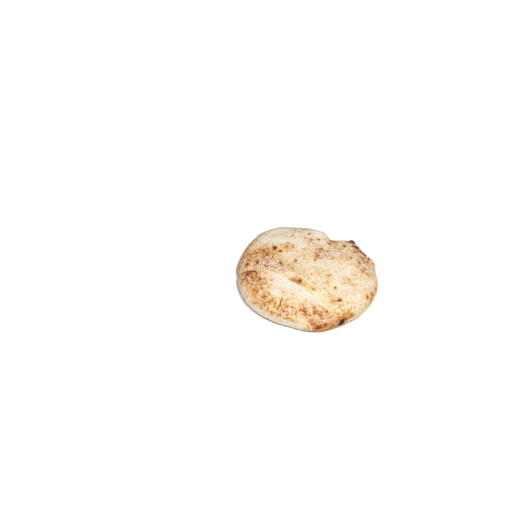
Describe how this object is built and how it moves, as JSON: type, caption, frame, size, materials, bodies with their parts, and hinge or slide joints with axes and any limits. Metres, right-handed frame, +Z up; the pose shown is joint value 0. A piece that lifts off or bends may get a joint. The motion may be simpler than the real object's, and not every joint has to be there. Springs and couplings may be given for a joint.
{
  "type": "puccia bread",
  "caption": "Round flat puccia loaf: a puffed cushion of wheat bread with a flat base, uneven rounded rim, creased crown and charred blisters, to be eaten or split and filled.",
  "frame": {"origin": "on the table, under the middle of the loaf's outline", "axes": "+Z up out of the crown, +X along the longest way across, towards the side with the uneven shoulder; -Y is the side with the long fold"},
  "size_m": [0.1786, 0.1706, 0.0409],
  "materials": {
    "crust": "matte"
  },
  "bodies": {
    "root": {"bread": "crust"}
  },
  "joints": []
}
